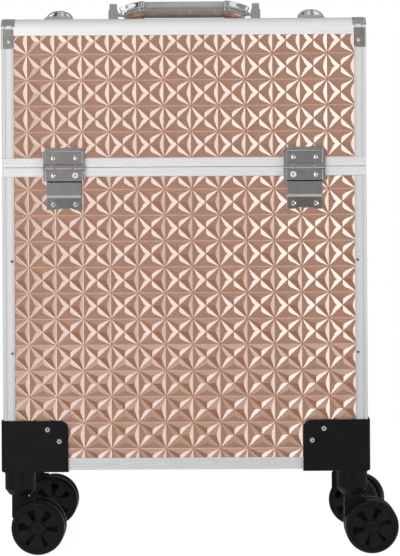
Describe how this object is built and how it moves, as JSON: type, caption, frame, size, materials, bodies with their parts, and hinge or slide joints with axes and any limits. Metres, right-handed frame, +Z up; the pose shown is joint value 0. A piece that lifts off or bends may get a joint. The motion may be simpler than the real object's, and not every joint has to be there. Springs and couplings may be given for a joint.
{
  "type": "rolling makeup case",
  "caption": "Upright aluminium-framed makeup case with pressed rose panels, a split lid with cantilever trays, a carry handle, latches, a telescopic pull handle and swivel casters.",
  "frame": {"origin": "on the floor under the middle of the case", "axes": "+Z up, the front face looks along -Y, +X to the right as seen from the front"},
  "size_m": [0.3746, 0.2557, 0.5241],
  "materials": {
    "aluminium": "satin anodised extrusion",
    "rose_skin": "rose gold metallic skin with pressed stars",
    "board": "dark fibreboard",
    "flock": "black flocked plastic",
    "chrome": "polished chrome plate",
    "nickel": "satin nickel plate",
    "black_plastic": "fine moulded grain",
    "wheel_plastic": "semi matt moulded",
    "steel": "turned"
  },
  "bodies": {
    "base": {"base_frame": "aluminium", "base_front_panel": "rose_skin", "base_rear_panel": "rose_skin", "base_side_panels": "rose_skin", "base_floor_panel": "board", "base_floor_liner": "flock", "base_rivets": "chrome", "corner_brackets": "black_plastic", "hinge_base_leaves": "nickel", "hinge_pins": "nickel", "pull_outer_tubes": "aluminium", "pull_collar": "black_plastic"},
    "front_lid": {"front_lid_frame": "aluminium", "front_lid_panel": "rose_skin", "front_lid_top": "rose_skin", "front_lid_sides": "rose_skin", "front_lid_caps": "chrome", "front_lid_leaves": "nickel", "front_lid_rivets": "chrome", "handle_posts": "chrome", "latch_bases": "chrome"},
    "rear_lid": {"rear_lid_frame": "aluminium", "rear_lid_panel": "rose_skin", "rear_lid_top": "rose_skin", "rear_lid_sides": "rose_skin", "rear_lid_caps": "chrome", "rear_lid_leaves": "nickel", "rear_lid_rivets": "chrome", "latch_strikes": "chrome"},
    "carry_handle": {"handle_grip": "nickel", "handle_ferrules": "chrome"},
    "left_latch": {"left_latch_lever": "chrome"},
    "right_latch": {"right_latch_lever": "chrome"},
    "pull_first_stage": {"pull_first_tubes": "aluminium"},
    "pull_second_stage": {"pull_second_tubes": "aluminium"},
    "pull_third_stage": {"pull_third_tubes": "aluminium", "pull_grip": "black_plastic"},
    "pull_release": {"pull_button": "black_plastic"},
    "front_lower_tray": {"front_lower_tray": "flock"},
    "front_upper_tray": {"front_upper_tray": "flock"},
    "front_tray_arms": {"front_tray_arms": "nickel"},
    "rear_lower_tray": {"rear_lower_tray": "flock"},
    "rear_upper_tray": {"rear_upper_tray": "flock"},
    "rear_tray_arms": {"rear_tray_arms": "nickel"},
    "front_left_caster": {"front_left_fork": "black_plastic", "front_left_axle": "steel"},
    "front_left_outer_wheel": {"front_left_outer_wheel": "wheel_plastic"},
    "front_left_inner_wheel": {"front_left_inner_wheel": "wheel_plastic"},
    "front_right_caster": {"front_right_fork": "black_plastic", "front_right_axle": "steel"},
    "front_right_outer_wheel": {"front_right_outer_wheel": "wheel_plastic"},
    "front_right_inner_wheel": {"front_right_inner_wheel": "wheel_plastic"},
    "rear_left_caster": {"rear_left_fork": "black_plastic", "rear_left_axle": "steel"},
    "rear_left_outer_wheel": {"rear_left_outer_wheel": "wheel_plastic"},
    "rear_left_inner_wheel": {"rear_left_inner_wheel": "wheel_plastic"},
    "rear_right_caster": {"rear_right_fork": "black_plastic", "rear_right_axle": "steel"},
    "rear_right_outer_wheel": {"rear_right_outer_wheel": "wheel_plastic"},
    "rear_right_inner_wheel": {"rear_right_inner_wheel": "wheel_plastic"}
  },
  "joints": [
    {"name": "front_lid_hinge", "type": "hinge", "parent": "base", "child": "front_lid", "pos_m": [0, -0.1178, 0.361], "axis": [1, 0, 0], "range_deg": [0, 90]},
    {"name": "rear_lid_hinge", "type": "hinge", "parent": "base", "child": "rear_lid", "pos_m": [0, 0.1178, 0.361], "axis": [1, 0, 0], "range_deg": [-90, 0]},
    {"name": "front_lower_tray_pivot", "type": "hinge", "parent": "front_lid", "child": "front_lower_tray", "pos_m": [0, -0.0828, 0.394], "axis": [1, 0, 0], "range_deg": [-90, 0]},
    {"name": "front_upper_tray_pivot", "type": "hinge", "parent": "front_lid", "child": "front_upper_tray", "pos_m": [0, -0.0478, 0.427], "axis": [1, 0, 0], "range_deg": [-90, 0]},
    {"name": "front_tray_arms_pivot", "type": "hinge", "parent": "base", "child": "front_tray_arms", "pos_m": [0, -0.0898, 0.351], "axis": [1, 0, 0], "range_deg": [0, 90]},
    {"name": "rear_lower_tray_pivot", "type": "hinge", "parent": "rear_lid", "child": "rear_lower_tray", "pos_m": [0, 0.0828, 0.394], "axis": [1, 0, 0], "range_deg": [0, 90]},
    {"name": "rear_upper_tray_pivot", "type": "hinge", "parent": "rear_lid", "child": "rear_upper_tray", "pos_m": [0, 0.0478, 0.427], "axis": [1, 0, 0], "range_deg": [0, 90]},
    {"name": "rear_tray_arms_pivot", "type": "hinge", "parent": "base", "child": "rear_tray_arms", "pos_m": [0, 0.0898, 0.351], "axis": [1, 0, 0], "range_deg": [-90, 0]},
    {"name": "carry_handle_pivot", "type": "hinge", "parent": "front_lid", "child": "carry_handle", "pos_m": [0, -0.026, 0.51063], "axis": [1, 0, 0], "range_deg": [-85, 85]},
    {"name": "left_latch_pivot", "type": "hinge", "parent": "front_lid", "child": "left_latch", "pos_m": [-0.122, -0.04, 0.504], "axis": [1, 0, 0], "range_deg": [0, 75]},
    {"name": "right_latch_pivot", "type": "hinge", "parent": "front_lid", "child": "right_latch", "pos_m": [0.122, -0.04, 0.504], "axis": [1, 0, 0], "range_deg": [0, 75]},
    {"name": "pull_first_slide", "type": "slide", "parent": "base", "child": "pull_first_stage", "axis": [0, 0, 1], "range_m": [0, 0.19]},
    {"name": "pull_second_slide", "type": "slide", "parent": "pull_first_stage", "child": "pull_second_stage", "axis": [0, 0, 1], "range_m": [0, 0.19]},
    {"name": "pull_third_slide", "type": "slide", "parent": "pull_second_stage", "child": "pull_third_stage", "axis": [0, 0, 1], "range_m": [0, 0.19]},
    {"name": "pull_release_press", "type": "slide", "parent": "pull_third_stage", "child": "pull_release", "axis": [0, 0, -1], "range_m": [0, 0.003], "stiffness_N_per_m": 400},
    {"name": "front_left_swivel", "type": "hinge", "parent": "base", "child": "front_left_caster", "pos_m": [-0.1556, -0.1006, 0.055], "axis": [0, 0, 1], "continuous": true},
    {"name": "front_left_outer_wheel_spin", "type": "hinge", "parent": "front_left_caster", "child": "front_left_outer_wheel", "pos_m": [-0.1381, -0.1006, 0.025], "axis": [0, 1, 0], "continuous": true},
    {"name": "front_left_inner_wheel_spin", "type": "hinge", "parent": "front_left_caster", "child": "front_left_inner_wheel", "pos_m": [-0.1381, -0.1006, 0.025], "axis": [0, 1, 0], "continuous": true},
    {"name": "front_right_swivel", "type": "hinge", "parent": "base", "child": "front_right_caster", "pos_m": [0.1556, -0.1006, 0.055], "axis": [0, 0, 1], "continuous": true},
    {"name": "front_right_outer_wheel_spin", "type": "hinge", "parent": "front_right_caster", "child": "front_right_outer_wheel", "pos_m": [0.1731, -0.1006, 0.025], "axis": [0, 1, 0], "continuous": true},
    {"name": "front_right_inner_wheel_spin", "type": "hinge", "parent": "front_right_caster", "child": "front_right_inner_wheel", "pos_m": [0.1731, -0.1006, 0.025], "axis": [0, 1, 0], "continuous": true},
    {"name": "rear_left_swivel", "type": "hinge", "parent": "base", "child": "rear_left_caster", "pos_m": [-0.1556, 0.1006, 0.055], "axis": [0, 0, 1], "continuous": true},
    {"name": "rear_left_outer_wheel_spin", "type": "hinge", "parent": "rear_left_caster", "child": "rear_left_outer_wheel", "pos_m": [-0.1381, 0.1006, 0.025], "axis": [0, 1, 0], "continuous": true},
    {"name": "rear_left_inner_wheel_spin", "type": "hinge", "parent": "rear_left_caster", "child": "rear_left_inner_wheel", "pos_m": [-0.1381, 0.1006, 0.025], "axis": [0, 1, 0], "continuous": true},
    {"name": "rear_right_swivel", "type": "hinge", "parent": "base", "child": "rear_right_caster", "pos_m": [0.1556, 0.1006, 0.055], "axis": [0, 0, 1], "continuous": true},
    {"name": "rear_right_outer_wheel_spin", "type": "hinge", "parent": "rear_right_caster", "child": "rear_right_outer_wheel", "pos_m": [0.17205, 0.09462, 0.025], "axis": [0.342, 0.9397, 0], "continuous": true},
    {"name": "rear_right_inner_wheel_spin", "type": "hinge", "parent": "rear_right_caster", "child": "rear_right_inner_wheel", "pos_m": [0.17205, 0.09462, 0.025], "axis": [0.342, 0.9397, 0], "continuous": true}
  ],
  "couplings": [
    {"joint": "front_lower_tray_pivot", "follows": "front_lid_hinge", "ratio": -1},
    {"joint": "front_upper_tray_pivot", "follows": "front_lid_hinge", "ratio": -1},
    {"joint": "front_tray_arms_pivot", "follows": "front_lid_hinge", "ratio": 1},
    {"joint": "rear_lower_tray_pivot", "follows": "rear_lid_hinge", "ratio": -1},
    {"joint": "rear_upper_tray_pivot", "follows": "rear_lid_hinge", "ratio": -1},
    {"joint": "rear_tray_arms_pivot", "follows": "rear_lid_hinge", "ratio": 1}
  ]
}
